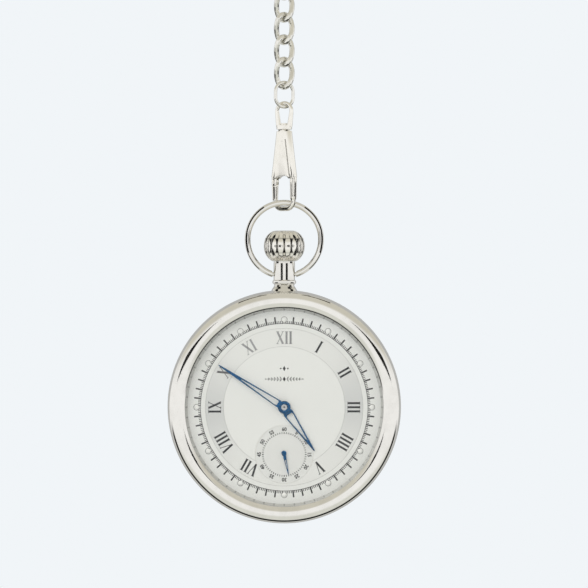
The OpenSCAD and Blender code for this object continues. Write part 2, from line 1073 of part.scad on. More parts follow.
module balance_wheel() {
  color("#cfae58")
  watch()
  translate([balance_x, balance_y, 0]) {
    tube(4.5, 3.95, -4.85, -4.3);
    translate([0, 0, -4.65])
    linear_extrude(0.2)
    union() {
      circle(r = 0.8);
      for (i = [0:2])
        rotate(120 * i)
        translate([0, -0.25])
        square([4.1, 0.5]);
    }
    disc(0.3, -5.38, -2.3);
    disc(0.11, -5.68, -1.95);
    disc(0.95, -3.3, -3.12);
    rotate(-5)
    translate([0.66, 0, 0])
    disc(0.09, -3.62, -3.2);
    disc(0.55, -5.2, -4.95);
  }
}

module hairspring() {
  color("#2b4f86")
  watch()
  translate([balance_x, balance_y, 0])
  plate(coil(0.6, 2.8, 8, 0.05, 160), -5.13, -5.01);
}

hang_ring();
chain_link(1);  // chain_link_1
chain_link(2);  // chain_link_2
chain_link(3);  // chain_link_3
chain_link(4);  // chain_link_4
chain_link(5);  // chain_link_5
jump_ring();
clasp_bail();
clasp_body();
clasp_rivet();
clasp_gate();
gate_pin();
gate_spring();
bow();
case_middle();
pendant();
case_back();
bezel();
crystal();
dial_ring();
dial();
seconds_dial();
hour_dots();
hour_hand();
minute_hand();
seconds_hand();
cannon_pinion();
hour_wheel();
minute_wheel();
mainplate();
movement_ring();
case_screws();
barrel();
barrel_lid();
barrel_arbor();
mainspring();
ratchet_wheel();
ratchet_screw();
crown_wheel();
crown_wheel_core();
click();
click_spring();
centre_wheel();
third_wheel();
fourth_wheel();
escape_wheel();
pallet_fork();
pallet_bridge();
balance_wheel();
hairspring();
balance_cock();
regulator();
barrel_bridge();
train_bridge();
bridge_screws();
jewels();
crown();
winding_stem();
winding_pinion();
sliding_pinion();
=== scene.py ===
import json
import math

import bmesh
import bpy
from mathutils import Matrix, Vector


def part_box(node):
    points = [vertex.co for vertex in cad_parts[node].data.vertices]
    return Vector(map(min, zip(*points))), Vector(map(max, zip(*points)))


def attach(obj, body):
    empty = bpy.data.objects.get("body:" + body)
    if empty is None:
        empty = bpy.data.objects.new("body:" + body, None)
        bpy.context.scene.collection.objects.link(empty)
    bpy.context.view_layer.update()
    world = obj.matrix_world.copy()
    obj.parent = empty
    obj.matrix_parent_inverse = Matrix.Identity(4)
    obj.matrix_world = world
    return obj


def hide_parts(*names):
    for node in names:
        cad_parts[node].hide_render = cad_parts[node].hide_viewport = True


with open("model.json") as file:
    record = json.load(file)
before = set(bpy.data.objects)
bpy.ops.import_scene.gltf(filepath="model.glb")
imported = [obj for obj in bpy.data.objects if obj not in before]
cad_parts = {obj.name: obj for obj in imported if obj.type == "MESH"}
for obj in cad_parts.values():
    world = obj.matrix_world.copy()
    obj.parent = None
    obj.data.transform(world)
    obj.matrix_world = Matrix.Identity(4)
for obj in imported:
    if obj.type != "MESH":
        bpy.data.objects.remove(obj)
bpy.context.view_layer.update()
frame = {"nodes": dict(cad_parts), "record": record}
nodes = frame["nodes"]

mm = 0.001
dialLow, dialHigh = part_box("dial")
subLow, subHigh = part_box("seconds_dial")
dialCentre = Vector(((dialLow.x + dialHigh.x) / 2, dialLow.y, (dialLow.z + dialHigh.z) / 2))
subCentre = Vector(((subLow.x + subHigh.x) / 2, subLow.y, (subLow.z + subHigh.z) / 2))


def onFace(centre):
    # a frame in millimetres whose Z comes out of the dial at that point
    return Matrix.Translation(centre) @ Matrix.Rotation(math.radians(90), 4, "X") @ Matrix.Scale(mm, 4)


def calc(tree, operation, a, b=None, c=None):
    node = tree.nodes.new("ShaderNodeMath")
    node.operation = operation
    for index, value in enumerate((a, b, c)):
        if isinstance(value, (int, float)):
            node.inputs[index].default_value = value
        elif value is not None:
            tree.links.new(value, node.inputs[index])
    return node.outputs[0]


def remap(tree, value, fromLow, fromHigh, toLow=0.0, toHigh=1.0, smooth=True):
    node = tree.nodes.new("ShaderNodeMapRange")
    node.interpolation_type = "SMOOTHSTEP" if smooth else "LINEAR"
    for label, number in (("From Min", fromLow), ("From Max", fromHigh), ("To Min", toLow), ("To Max", toHigh)):
        node.inputs[label].default_value = number
    tree.links.new(value, node.inputs["Value"])
    return node.outputs["Result"]


def noise(tree, vector, scale, detail=2.0, rough=0.5):
    node = tree.nodes.new("ShaderNodeTexNoise")
    node.inputs["Scale"].default_value = scale
    node.inputs["Detail"].default_value = detail
    node.inputs["Roughness"].default_value = rough
    tree.links.new(vector, node.inputs["Vector"])
    return node.outputs["Fac"]


def mixColour(tree, factor, a, b):
    node = tree.nodes.new("ShaderNodeMix")
    node.data_type = "RGBA"
    # a colour mix takes its factor at 0, its colours at 6 and 7, and gives the result at 2
    tree.links.new(factor, node.inputs[0])
    for index, value in ((6, a), (7, b)):
        if isinstance(value, tuple):
            node.inputs[index].default_value = (*value, 1.0)
        else:
            tree.links.new(value, node.inputs[index])
    return node.outputs[2]


def makeGroup(name, inputs, outputs):
    group = bpy.data.node_groups.new(name, "ShaderNodeTree")
    for label, kind, value in inputs:
        socket = group.interface.new_socket(name=label, in_out="INPUT", socket_type=kind)
        if value is not None:
            socket.default_value = value
    for label, kind in outputs:
        group.interface.new_socket(name=label, in_out="OUTPUT", socket_type=kind)
    return group, group.nodes.new("NodeGroupInput"), group.nodes.new("NodeGroupOutput")


def placeGroup(tree, group, vector, **values):
    node = tree.nodes.new("ShaderNodeGroup")
    node.node_tree = group
    tree.links.new(vector, node.inputs["Vector"])
    for label, number in values.items():
        node.inputs[label].default_value = number
    return node


vectorIn = ("Vector", "NodeSocketVector", None)


def wearGroup():
    # uneven polish and short hairlines
    group, source, sink = makeGroup(
        "polishWear",
        [vectorIn, ("Size", "NodeSocketFloat", 1.0), ("Dull", "NodeSocketFloat", 0.05)],
        [("Rough", "NodeSocketFloat"), ("Height", "NodeSocketFloat"), ("Stain", "NodeSocketFloat")])
    scaled = group.nodes.new("ShaderNodeVectorMath")
    scaled.operation = "SCALE"
    group.links.new(source.outputs["Vector"], scaled.inputs[0])
    group.links.new(source.outputs["Size"], scaled.inputs["Scale"])
    cloud = noise(group, scaled.outputs[0], 260, 4, 0.6)
    stretch = group.nodes.new("ShaderNodeMapping")
    stretch.inputs["Rotation"].default_value = (0.5, 0.9, 0.4)
    stretch.inputs["Scale"].default_value = (1, 30, 30)
    group.links.new(scaled.outputs[0], stretch.inputs["Vector"])
    hair = remap(group, noise(group, stretch.outputs[0], 140, 2, 0.6), 0.62, 0.72)
    uneven = remap(group, cloud, 0.35, 0.7)
    streaked = calc(group, "ADD", uneven, calc(group, "MULTIPLY", hair, 0.8))
    rough = calc(group, "MULTIPLY", streaked, source.outputs["Dull"])
    group.links.new(rough, sink.inputs["Rough"])
    group.links.new(hair, sink.inputs["Height"])
    group.links.new(uneven, sink.inputs["Stain"])
    return group


def ringGroup():
    # distance from the axis in millimetres, the turn round it, and turned lines
    group, source, sink = makeGroup(
        "turnedFace",
        [vectorIn, ("Line pitch", "NodeSocketFloat", 0.08)],
        [("Radius", "NodeSocketFloat"), ("Turn", "NodeSocketFloat"), ("Lines", "NodeSocketFloat")])
    split = group.nodes.new("ShaderNodeSeparateXYZ")
    group.links.new(source.outputs["Vector"], split.inputs[0])
    x, z = split.outputs["X"], split.outputs["Z"]
    squared = calc(group, "ADD", calc(group, "MULTIPLY", x, x), calc(group, "MULTIPLY", z, z))
    radius = calc(group, "MULTIPLY", calc(group, "SQRT", squared), 1000.0)
    turn = calc(group, "ARCTAN2", x, z)
    place = group.nodes.new("ShaderNodeCombineXYZ")
    group.links.new(calc(group, "DIVIDE", radius, source.outputs["Line pitch"]), place.inputs["X"])
    group.links.new(calc(group, "MULTIPLY", turn, 0.6), place.inputs["Y"])
    group.links.new(radius, sink.inputs["Radius"])
    group.links.new(turn, sink.inputs["Turn"])
    group.links.new(noise(group, place.outputs[0], 1.0, 2, 0.6), sink.inputs["Lines"])
    return group


def stripeGroup():
    # broad curved stripes, as on a decorated bridge
    group, source, sink = makeGroup(
        "bridgeStripes",
        [vectorIn, ("Width", "NodeSocketFloat", 1.3)],
        [("Height", "NodeSocketFloat"), ("Shade", "NodeSocketFloat")])
    split = group.nodes.new("ShaderNodeSeparateXYZ")
    group.links.new(source.outputs["Vector"], split.inputs[0])
    slanted = calc(group, "ADD", split.outputs["X"], calc(group, "MULTIPLY", split.outputs["Z"], 0.35))
    along = calc(group, "MULTIPLY", slanted, 1000.0)
    step = calc(group, "FRACT", calc(group, "DIVIDE", along, source.outputs["Width"]))
    grain = group.nodes.new("ShaderNodeCombineXYZ")
    group.links.new(calc(group, "MULTIPLY", split.outputs["Z"], 400.0), grain.inputs["X"])
    group.links.new(calc(group, "MULTIPLY", step, 8.0), grain.inputs["Y"])
    fine = noise(group, grain.outputs[0], 6.0, 2, 0.6)
    group.links.new(calc(group, "ADD", step, calc(group, "MULTIPLY", fine, 0.12)), sink.inputs["Height"])
    group.links.new(step, sink.inputs["Shade"])
    return group


def pearlGroup():
    # rows of small overlapping turned spots
    group, source, sink = makeGroup(
        "pearledSpots",
        [vectorIn, ("Spot", "NodeSocketFloat", 1.1)],
        [("Height", "NodeSocketFloat"), ("Shade", "NodeSocketFloat")])
    flat = group.nodes.new("ShaderNodeVectorMath")
    flat.operation = "MULTIPLY"
    flat.inputs[1].default_value = (1000.0, 0.0, 1000.0)
    group.links.new(source.outputs["Vector"], flat.inputs[0])
    cells = group.nodes.new("ShaderNodeTexVoronoi")
    cells.inputs["Randomness"].default_value = 0.0
    group.links.new(flat.outputs[0], cells.inputs["Vector"])
    group.links.new(calc(group, "DIVIDE", 1.0, source.outputs["Spot"]), cells.inputs["Scale"])
    away = cells.outputs["Distance"]
    rings = calc(group, "SINE", calc(group, "MULTIPLY", away, 60.0))
    group.links.new(rings, sink.inputs["Height"])
    group.links.new(away, sink.inputs["Shade"])
    return group


wear, turned, stripes, pearls = wearGroup(), ringGroup(), stripeGroup(), pearlGroup()


def startMaterial(name):
    material = bpy.data.materials.new(name)
    material.use_nodes = True
    tree = material.node_tree
    shader = tree.nodes["Principled BSDF"]
    place = tree.nodes.new("ShaderNodeTexCoord").outputs["Object"]
    return material, tree, shader, place


def bump(tree, shader, height, strength, distance):
    node = tree.nodes.new("ShaderNodeBump")
    node.inputs["Strength"].default_value = strength
    node.inputs["Distance"].default_value = distance
    tree.links.new(height, node.inputs["Height"])
    tree.links.new(node.outputs["Normal"], shader.inputs["Normal"])


def centred(tree, place, centre):
    node = tree.nodes.new("ShaderNodeMapping")
    node.inputs["Location"].default_value = -centre
    tree.links.new(place, node.inputs["Vector"])
    return node.outputs[0]


def polished(name, colour, stain, rough=0.05, dull=0.06, size=1.0, strength=0.06):
    material, tree, shader, place = startMaterial(name)
    worn = placeGroup(tree, wear, place, Size=size, Dull=dull)
    tree.links.new(mixColour(tree, worn.outputs["Stain"], colour, stain), shader.inputs["Base Color"])
    tree.links.new(calc(tree, "ADD", worn.outputs["Rough"], rough), shader.inputs["Roughness"])
    shader.inputs["Metallic"].default_value = 1.0
    bump(tree, shader, worn.outputs["Height"], strength, 0.00002)
    return material


def turnedMetal(name, colour, stain, rough=0.22, pitch=0.06, centre=(0, 0, 0), strength=0.25):
    material, tree, shader, place = startMaterial(name)
    face = placeGroup(tree, turned, centred(tree, place, Vector(centre)), **{"Line pitch": pitch})
    lines = face.outputs["Lines"]
    tree.links.new(mixColour(tree, lines, colour, stain), shader.inputs["Base Color"])
    tree.links.new(remap(tree, lines, 0.2, 0.8, rough - 0.06, rough + 0.1, False), shader.inputs["Roughness"])
    shader.inputs["Metallic"].default_value = 1.0
    bump(tree, shader, lines, strength, 0.00001)
    return material


finishes = {
    "case": {"colour": (0.86, 0.85, 0.82), "stain": (0.80, 0.79, 0.76), "rough": 0.05, "dull": 0.05},
    "bow": {"colour": (0.84, 0.83, 0.80), "stain": (0.78, 0.77, 0.74), "rough": 0.05, "dull": 0.05},
    "chain": {"colour": (0.88, 0.87, 0.83), "stain": (0.80, 0.79, 0.75), "rough": 0.07, "dull": 0.08},
    "clasp": {"colour": (0.92, 0.90, 0.85), "stain": (0.87, 0.85, 0.79), "rough": 0.09, "dull": 0.08},
    "steel": {"colour": (0.62, 0.62, 0.63), "stain": (0.54, 0.54, 0.56), "rough": 0.18, "dull": 0.12},
}
caseSteel = polished("caseSteel", **finishes["case"])
bowSteel = polished("bowSteel", **finishes["bow"])
chainPlate = polished("chainPlate", **finishes["chain"], size=2.0)
claspPlate = polished("claspPlate", **finishes["clasp"], size=2.0)
beadMetal = polished("beadMetal", (0.45, 0.44, 0.42), (0.34, 0.33, 0.31), rough=0.2, size=4.0)
groundSteel = polished("groundSteel", **finishes["steel"], size=4.0, strength=0.15)
giltTone, giltStain = (0.86, 0.66, 0.32), (0.74, 0.55, 0.25)
gilt = turnedMetal("giltBrass", giltTone, giltStain, rough=0.26, centre=dialCentre)


def wheelFinish(name, node, core):
    # brass wheel whose arbor and pinion, near the axis, are steel
    low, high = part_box(node)
    material, tree, shader, place = startMaterial(name)
    face = placeGroup(tree, turned, centred(tree, place, (low + high) / 2), **{"Line pitch": 0.05})
    lines, inside = face.outputs["Lines"], remap(tree, face.outputs["Radius"], core - 0.02, core + 0.02, 1, 0)
    brass = mixColour(tree, lines, giltTone, giltStain)
    tree.links.new(mixColour(tree, inside, brass, (0.60, 0.60, 0.61)), shader.inputs["Base Color"])
    tree.links.new(remap(tree, lines, 0.2, 0.8, 0.18, 0.34, False), shader.inputs["Roughness"])
    shader.inputs["Metallic"].default_value = 1.0
    bump(tree, shader, lines, 0.2, 0.00001)
    return material


reflector = {"tone": (0.66, 0.66, 0.64), "dark": (0.34, 0.34, 0.34), "outer": 20.25, "metallic": 0.3}


def reflectorFinish():
    # satin cone; the minute strokes' reflection is painted dark at its inner edge
    material, tree, shader, place = startMaterial("reflectorMetal")
    face = placeGroup(tree, turned, centred(tree, place, dialCentre), **{"Line pitch": 0.05})
    radius, turn, lines = (face.outputs[k] for k in ("Radius", "Turn", "Lines"))
    # painted reflection of the minute track: sixty dark strokes by angle, only at the cone's inner edge
    step = calc(tree, "FRACT", calc(tree, "MULTIPLY_ADD", turn, 60 / math.tau, 60.5))
    away = calc(tree, "ABSOLUTE", calc(tree, "SUBTRACT", step, 0.5))
    reflectedStroke = calc(tree, "MULTIPLY", remap(tree, away, 0.05, 0.09, 1, 0),
                  remap(tree, radius, reflector["outer"] - 0.15, reflector["outer"], 1, 0))
    tone = mixColour(tree, calc(tree, "MULTIPLY", reflectedStroke, 0.7), reflector["tone"], reflector["dark"])
    tree.links.new(tone, shader.inputs["Base Color"])
    tree.links.new(remap(tree, lines, 0.2, 0.8, 0.26, 0.4, False), shader.inputs["Roughness"])
    shader.inputs["Metallic"].default_value = reflector["metallic"]
    bump(tree, shader, lines, 0.1, 0.00001)
    return material


crownLook = {"rib": (0.93, 0.91, 0.86), "stain": (0.87, 0.85, 0.80), "slot": (0.03, 0.03, 0.03), "deep": 4.0}


def crownFinish():
    # polished ribs with painted shade, nearly black, in the slots between them
    low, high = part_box("crown")
    material, tree, shader, place = startMaterial("crownPlate")
    worn = placeGroup(tree, wear, place, Size=2.0, Dull=0.06)
    split = tree.nodes.new("ShaderNodeSeparateXYZ")
    tree.links.new(centred(tree, place, (low + high) / 2), split.inputs[0])
    x, y, z = (split.outputs[k] for k in "XYZ")
    radius = calc(tree, "SQRT", calc(tree, "ADD", calc(tree, "MULTIPLY", x, x), calc(tree, "MULTIPLY", y, y)))
    radius = calc(tree, "MULTIPLY", radius, 1000.0)
    deep = remap(tree, radius, crownLook["deep"] - 0.1, crownLook["deep"] + 0.04, 1, 0)
    band = remap(tree, calc(tree, "ABSOLUTE", calc(tree, "MULTIPLY", z, 1000.0)), 1.3, 1.7, 1, 0)
    tone = mixColour(tree, worn.outputs["Stain"], crownLook["rib"], crownLook["stain"])
    # painted shade: deep in the slots, and only within the ribbed band
    slotShade = calc(tree, "MULTIPLY", deep, band)
    tree.links.new(mixColour(tree, slotShade, tone, crownLook["slot"]), shader.inputs["Base Color"])
    tree.links.new(calc(tree, "ADD", worn.outputs["Rough"], calc(tree, "MULTIPLY_ADD", slotShade, 0.5, 0.08)),
                   shader.inputs["Roughness"])
    shader.inputs["Metallic"].default_value = 1.0
    return material


dialRings = {"chapterIn": 12.4, "chapterOut": 16.1, "secondsEdge": 5.95}  # millimetres from the dial's middle


def dialFinish():
    look = {"base": (0.91, 0.915, 0.90), "line": (0.87, 0.87, 0.855), "shade": (0.60, 0.61, 0.62),
            "rough": 0.42, "metallic": 0.15}
    material, tree, shader, place = startMaterial("silveredDial")
    face = placeGroup(tree, turned, centred(tree, place, dialCentre), **{"Line pitch": 0.07})
    radius, turn, lines = (face.outputs[k] for k in ("Radius", "Turn", "Lines"))
    inner, outerEdge, blend = dialRings["chapterIn"], dialRings["chapterOut"], 0.03
    chapter = calc(tree, "MULTIPLY", remap(tree, radius, inner - blend, inner + blend),
                   remap(tree, radius, outerEdge - blend, outerEdge + blend, 1, 0))
    outer = remap(tree, radius, outerEdge - blend, outerEdge + blend)
    # painted shade: the dial is painted darker towards 3 and 9 o'clock, most on the turned chapter ring
    side = calc(tree, "POWER", calc(tree, "ABSOLUTE", calc(tree, "SINE", calc(tree, "ADD", turn, 0.06))), 7.0)
    shade = calc(tree, "MULTIPLY", side, calc(tree, "ADD", calc(tree, "MULTIPLY", chapter, 0.62), 0.04))
    # fine rays in the middle: a matching bump, with their faint sheen painted as a lighter tone
    swept = calc(tree, "ADD", calc(tree, "MULTIPLY", turn, 72.0), calc(tree, "MULTIPLY", radius, 1.2))
    wave = calc(tree, "SINE", swept)
    middle = remap(tree, radius, 11.6, 12.3, 1, 0)
    rays = calc(tree, "MULTIPLY", calc(tree, "MULTIPLY", wave, 0.5), middle)
    lined = calc(tree, "MULTIPLY", lines, calc(tree, "ADD", chapter, 0.25))
    tone = mixColour(tree, lined, look["base"], look["line"])
    tone = mixColour(tree, shade, tone, look["shade"])
    tone = mixColour(tree, calc(tree, "MULTIPLY_ADD", rays, 0.12, 0.06), tone, (0.96, 0.96, 0.95))
    tree.links.new(tone, shader.inputs["Base Color"])
    tree.links.new(remap(tree, lines, 0.2, 0.8, look["rough"] - 0.05, look["rough"] + 0.08, False),
                   shader.inputs["Roughness"])
    shader.inputs["Metallic"].default_value = look["metallic"]
    height = calc(tree, "ADD", calc(tree, "MULTIPLY", lines, calc(tree, "ADD", chapter, 0.1)), rays)
    height = calc(tree, "ADD", height, calc(tree, "MULTIPLY", outer, 1.5))
    bump(tree, shader, height, 0.25, 0.00001)
    return material


def subDialFinish():
    material, tree, shader, place = startMaterial("silveredSeconds")
    face = placeGroup(tree, turned, centred(tree, place, subCentre), **{"Line pitch": 0.11})
    lines = face.outputs["Lines"]
    tree.links.new(mixColour(tree, lines, (0.90, 0.905, 0.89), (0.80, 0.80, 0.79)), shader.inputs["Base Color"])
    tree.links.new(remap(tree, lines, 0.2, 0.8, 0.36, 0.5, False), shader.inputs["Roughness"])
    shader.inputs["Metallic"].default_value = 0.15
    groove = calc(tree, "SINE", calc(tree, "MULTIPLY", face.outputs["Radius"], 42.0))
    bump(tree, shader, calc(tree, "ADD", groove, lines), 0.2, 0.00001)
    return material


def inkFinish(name, dark, highlightTone, facing, spread):
    # raised, glossy print with a painted highlight on the side of the dial that faces the light
    material, tree, shader, place = startMaterial(name)
    face = placeGroup(tree, turned, centred(tree, place, dialCentre), **{"Line pitch": 0.5})
    near = calc(tree, "COSINE", calc(tree, "SUBTRACT", face.outputs["Turn"], math.radians(facing)))
    paintedHighlight = remap(tree, near, math.cos(math.radians(spread)), 0.97)
    tree.links.new(mixColour(tree, paintedHighlight, dark, highlightTone), shader.inputs["Base Color"])
    tree.links.new(remap(tree, face.outputs["Lines"], 0.2, 0.8, 0.28, 0.4, False), shader.inputs["Roughness"])
    return material


def bluedFinish():
    material, tree, shader, place = startMaterial("bluedSteel")
    worn = placeGroup(tree, wear, place, Size=3.0, Dull=0.08)
    tree.links.new(mixColour(tree, worn.outputs["Stain"], (0.006, 0.075, 0.19), (0.01, 0.11, 0.27)),
                   shader.inputs["Base Color"])
    tree.links.new(calc(tree, "ADD", worn.outputs["Rough"], 0.16), shader.inputs["Roughness"])
    shader.inputs["Metallic"].default_value = 1.0
    bump(tree, shader, worn.outputs["Height"], 0.08, 0.00002)
    return material


def crystalFinish():
    material, tree, shader, place = startMaterial("clearCrystal")
    worn = placeGroup(tree, wear, place, Size=1.0, Dull=0.01)
    tree.links.new(worn.outputs["Rough"], shader.inputs["Roughness"])
    shader.inputs["Base Color"].default_value = (0.98, 0.99, 0.99, 1)
    shader.inputs["Transmission Weight"].default_value = 1.0
    shader.inputs["IOR"].default_value = 1.3
    clear = tree.nodes.new("ShaderNodeBsdfTransparent")
    path = tree.nodes.new("ShaderNodeLightPath")
    mixed = tree.nodes.new("ShaderNodeMixShader")
    see = calc(tree, "MAXIMUM", path.outputs["Is Shadow Ray"], path.outputs["Is Diffuse Ray"])
    tree.links.new(see, mixed.inputs[0])
    tree.links.new(shader.outputs[0], mixed.inputs[1])
    tree.links.new(clear.outputs[0], mixed.inputs[2])
    tree.links.new(mixed.outputs[0], tree.nodes["Material Output"].inputs["Surface"])
    return material


def enamelFinish():
    material, tree, shader, place = startMaterial("pearlEnamel")
    tone = noise(tree, place, 3000, 2)
    tree.links.new(mixColour(tree, tone, (0.92, 0.92, 0.91), (0.98, 0.98, 0.96)), shader.inputs["Base Color"])
    tree.links.new(remap(tree, tone, 0.3, 0.7, 0.15, 0.3, False), shader.inputs["Roughness"])
    return material


def bridgeFinish():
    material, tree, shader, place = startMaterial("stripedBridge")
    band = placeGroup(tree, stripes, place, Width=1.4)
    tree.links.new(mixColour(tree, band.outputs["Shade"], (0.86, 0.86, 0.85), (0.68, 0.68, 0.68)),
                   shader.inputs["Base Color"])
    tree.links.new(remap(tree, band.outputs["Shade"], 0, 1, 0.2, 0.34, False), shader.inputs["Roughness"])
    shader.inputs["Metallic"].default_value = 1.0
    bump(tree, shader, band.outputs["Height"], 0.35, 0.00003)
    return material


def plateFinish():
    material, tree, shader, place = startMaterial("pearledPlate")
    spot = placeGroup(tree, pearls, place, Spot=1.2)
    tree.links.new(mixColour(tree, spot.outputs["Shade"], (0.84, 0.70, 0.42), (0.70, 0.56, 0.31)),
                   shader.inputs["Base Color"])
    tree.links.new(remap(tree, spot.outputs["Shade"], 0, 0.7, 0.22, 0.38, False), shader.inputs["Roughness"])
    shader.inputs["Metallic"].default_value = 1.0
    bump(tree, shader, spot.outputs["Height"], 0.25, 0.00001)
    return material


def rubyFinish():
    material, tree, shader, place = startMaterial("ruby")
    tone = noise(tree, place, 1500, 3)
    tree.links.new(mixColour(tree, tone, (0.55, 0.01, 0.10), (0.75, 0.05, 0.20)), shader.inputs["Base Color"])
    tree.links.new(remap(tree, tone, 0.3, 0.7, 0.05, 0.12, False), shader.inputs["Roughness"])
    shader.inputs["Coat Weight"].default_value = 0.6
    return material


silvered, silveredSeconds = dialFinish(), subDialFinish()
reflectorMetal, crownPlate = reflectorFinish(), crownFinish()
# each print: its dark tone, its painted highlight tone, the highlight's direction round the dial and its spread
numeralInk = inkFinish("numeralInk", (0.02, 0.021, 0.026), (0.36, 0.36, 0.37), -24, 46)
trackInk = inkFinish("trackInk", (0.012, 0.012, 0.014), (0.05, 0.05, 0.05), -60, 60)
rimInk = inkFinish("rimInk", (0.20, 0.20, 0.20), (0.26, 0.26, 0.26), -30, 50)
ruleInk = inkFinish("ruleInk", (0.42, 0.42, 0.41), (0.46, 0.46, 0.45), -30, 50)
blued, crystalClear, pearl = bluedFinish(), crystalFinish(), enamelFinish()
striped, pearled, ruby = bridgeFinish(), plateFinish(), rubyFinish()

finishOfSlot = {
    "chain": chainPlate, "clasp": claspPlate, "spring": groundSteel, "case": caseSteel,
    "crown": crownPlate, "crystal": crystalClear, "reflector": reflectorMetal, "dial": silvered,
    "dots": pearl, "blued": blued, "brass": gilt, "plate": pearled, "bridge": striped,
    "steel": groundSteel, "ruby": ruby,
}
cores = {"centre_wheel": 1.25, "third_wheel": 1.0, "fourth_wheel": 0.9}
ownFinish = {"seconds_dial": silveredSeconds, "bow": bowSteel}
for wheel, core in cores.items():
    ownFinish[wheel] = wheelFinish(wheel + "Brass", wheel, core)
for part in frame["record"]["subparts"]:
    cadObject = nodes[part["node"]]
    cadObject.data.materials.clear()
    cadObject.data.materials.append(ownFinish.get(part["node"], finishOfSlot[part["material_slot"]]))
print("finishes:", len(bpy.data.materials))


def settle(name, bm, material, body, place, smooth=None):
    bmesh.ops.transform(bm, matrix=place, verts=bm.verts)
    bmesh.ops.recalc_face_normals(bm, faces=bm.faces)
    mesh = bpy.data.meshes.new(name)
    bm.to_mesh(mesh)
    bm.free()
    mesh.materials.append(material)
    if smooth:
        mesh.shade_smooth()
        mesh.set_sharp_from_angle(angle=math.radians(smooth))
    piece = bpy.data.objects.new(name, mesh)
    bpy.context.scene.collection.objects.link(piece)
    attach(piece, body)
    return piece


def bar(bm, start, end, width, thick, lift=0.0):
    # a flat printed stroke from start to end, in the face's own plane
    start, end = Vector(start), Vector(end)
    run = end - start
    middle = (start + end) / 2
    turn = math.atan2(run.y, run.x)
    place = (Matrix.Translation((middle.x, middle.y, lift + thick / 2)) @ Matrix.Rotation(turn, 4, "Z")
             @ Matrix.Diagonal((run.length, width, thick, 1)))
    bmesh.ops.create_cube(bm, size=1, matrix=place)


def arc(bm, centre, radius, width, start, end, thick, steps):
    # a flat curved stroke, spun from one edge of its section
    full = abs(end - start) >= 360
    low = Vector((math.cos(math.radians(start)), math.sin(math.radians(start)), 0))
    corners = [bm.verts.new(Vector((*centre, z)) + low * r)
               for r, z in ((radius - width / 2, 0), (radius + width / 2, 0),
                            (radius + width / 2, thick), (radius - width / 2, thick))]
    edges = [bm.edges.new((corners[i], corners[(i + 1) % 4])) for i in range(4)]
    section = corners + edges
    if not full:
        section = section + [bm.faces.new(corners)]
    bmesh.ops.spin(bm, geom=section, cent=(*centre, 0), axis=(0, 0, 1), dvec=(0, 0, 0),
                   angle=math.radians(end - start), steps=steps, use_merge=full)


printed = {"thick": 0.016}

track = {"base": 17.1, "short": 17.62, "long": 18.5, "fine": 0.15, "bold": 0.3, "count": 300,
         "ruleWidth": 0.05, "pearl": 17.9, "halo": 0.6}


def minuteTrack():
    bm = bmesh.new()
    for index in range(track["count"]):
        angle = math.radians(index * 360 / track["count"])
        isMinute = index % 5 == 0
        if index % 25 == 0:
            continue  # a pearl stands at each hour
        reach = track["long"] if isMinute else track["short"]
        direction = Vector((math.sin(angle), math.cos(angle), 0))
        width = track["bold"] if isMinute else track["fine"]
        bar(bm, direction * track["base"], direction * reach, width, printed["thick"])
    arc(bm, (0, 0), track["base"], 0.1, 0, 360, printed["thick"], 180)
    return settle("minute_track", bm, trackInk, "case", onFace(dialCentre))


def pearlRims():
    # a thin grey circle round each pearl
    bm = bmesh.new()
    for hour in range(12):
        angle = math.radians(30 * hour)
        place = (math.sin(angle) * track["pearl"], math.cos(angle) * track["pearl"])
        arc(bm, place, track["halo"], 0.09, 0, 360, printed["thick"], 28)
    return settle("pearl_rims", bm, rimInk, "case", onFace(dialCentre))


def dialRules():
    bm = bmesh.new()
    arc(bm, (0, 0), dialRings["chapterOut"], track["ruleWidth"], 0, 360, printed["thick"], 180)
    # the inner circle stops at the seconds dial's edge
    inner, edge = dialRings["chapterIn"], dialRings["secondsEdge"]
    along = (subCentre.z - dialCentre.z) / mm
    away = math.degrees(math.acos((inner ** 2 + along ** 2 - edge ** 2) / (2 * inner * abs(along))))
    arc(bm, (0, 0), inner, track["ruleWidth"], -90 + away, 270 - away, printed["thick"], 170)
    return settle("dial_rules", bm, ruleInk, "case", onFace(dialCentre))


numeral = {"inner": 12.92, "height": 2.58, "stem": 0.40, "thin": 0.12, "serif": 0.1,
           "half": 0.55,
           "advance": {"I": 0.84, "V": 1.64, "X": 1.76},
           "foot": {"single": 0.64, "lowThin": 0.46, "lowStem": 0.54, "topStem": 0.58, "topThin": 0.44}}
hours = ["XII", "I", "II", "III", "IIII", "V", None, "VII", "VIII", "IX", "X", "XI"]


def letter(bm, kind, x, height):
    # thick and thin strokes with fine serifs
    stem, thin, serif, thick = (numeral["stem"], numeral["thin"], numeral["serif"], printed["thick"] * 2)
    half, wide = numeral["half"], numeral["foot"]
    low, high = serif, height - serif

    def foot(at, y, width):
        bar(bm, (at - width / 2, y, 0), (at + width / 2, y, 0), serif, thick)

    if kind == "I":
        bar(bm, (x, low, 0), (x, high, 0), stem, thick)
        foot(x, serif / 2, wide["single"])
        foot(x, height - serif / 2, wide["single"])
        return
    if kind == "V":
        bar(bm, (x - half, high, 0), (x, 0, 0), stem, thick)
        bar(bm, (x + half, high, 0), (x, 0.05, 0), thin, thick)
    else:
        bar(bm, (x - half, high, 0), (x + half, low, 0), stem, thick)
        bar(bm, (x + half, high, 0), (x - half, low, 0), thin, thick)
        foot(x - half, serif / 2, wide["lowThin"])
        foot(x + half, serif / 2, wide["lowStem"])
    foot(x - half, height - serif / 2, wide["topStem"])
    foot(x + half, height - serif / 2, wide["topThin"])


